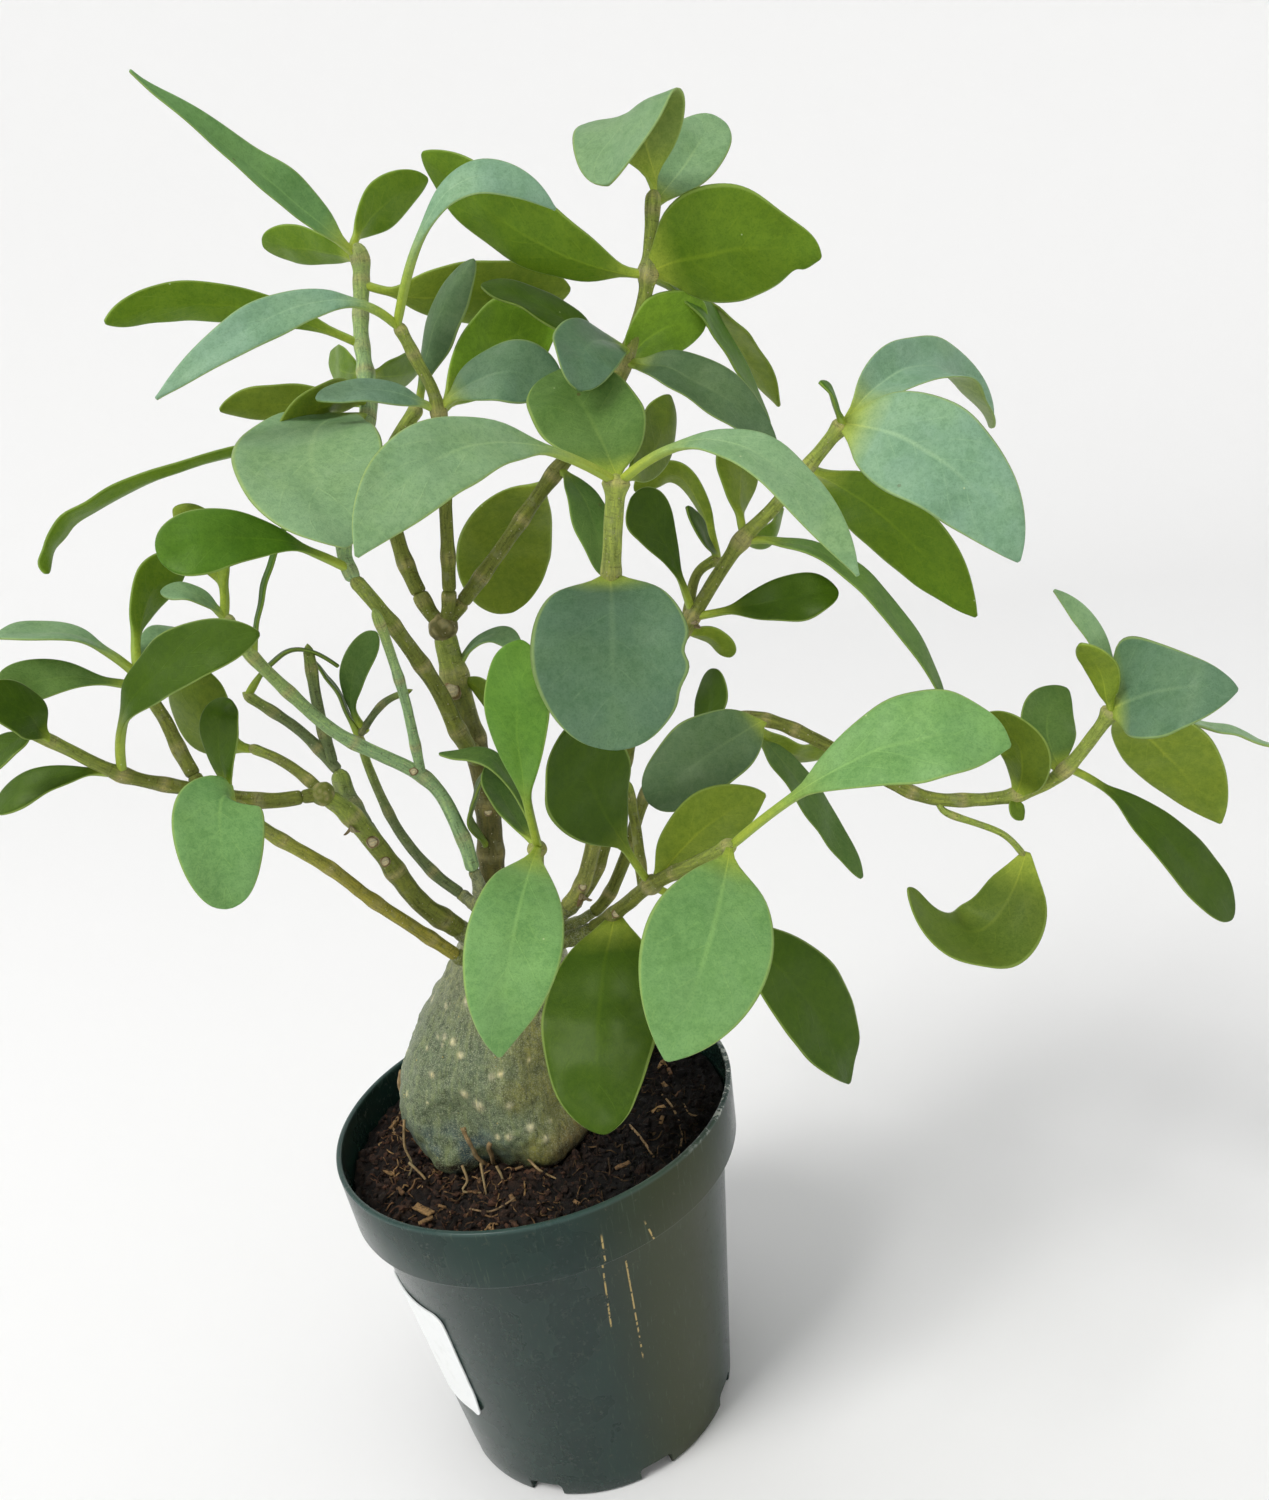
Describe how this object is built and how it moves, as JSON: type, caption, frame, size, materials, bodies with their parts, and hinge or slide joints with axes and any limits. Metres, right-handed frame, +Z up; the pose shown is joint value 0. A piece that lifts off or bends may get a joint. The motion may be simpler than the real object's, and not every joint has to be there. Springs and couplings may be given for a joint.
{
  "type": "potted ant plant",
  "caption": "Ant plant with a swollen grey-green tuber and arching leafy stems, in a round dark green nursery pot of soil.",
  "frame": {"origin": "middle of the pot's underside, on the surface that the pot stands on", "axes": "+Z up, the pot's axis; -Y towards the viewer of the picture; +X to the viewer's right, where the longest stems reach"},
  "size_m": [0.2835, 0.129, 0.3424],
  "materials": {
    "pot_plastic": "dark green moulded plastic, lightly scuffed",
    "label_paper": "white, smooth, blank",
    "soil_peat": "dark crumbly peat with tan fibres",
    "caudex_skin": "smooth grey-green skin with pale specks",
    "leaf_and_stem": "leathery green leaves, some with a pale bloom, on olive stems"
  },
  "bodies": {
    "root": {"pot": "pot_plastic", "blank_label": "label_paper", "soil": "soil_peat", "caudex": "caudex_skin", "left_low_stem": "leaf_and_stem", "left_stem": "leaf_and_stem", "left_long_shoot": "leaf_and_stem", "left_rising_shoot": "leaf_and_stem", "left_grey_shoot": "leaf_and_stem", "pale_stem": "leaf_and_stem", "thin_left_stem": "leaf_and_stem", "centre_stem": "leaf_and_stem", "forked_left_stem": "leaf_and_stem", "centre_left_shoot": "leaf_and_stem", "centre_shoot": "leaf_and_stem", "centre_right_shoot": "leaf_and_stem", "front_stem": "leaf_and_stem", "low_front_stem": "leaf_and_stem", "low_right_stem": "leaf_and_stem", "right_stem": "leaf_and_stem", "right_low_stem": "leaf_and_stem"}
  },
  "joints": []
}
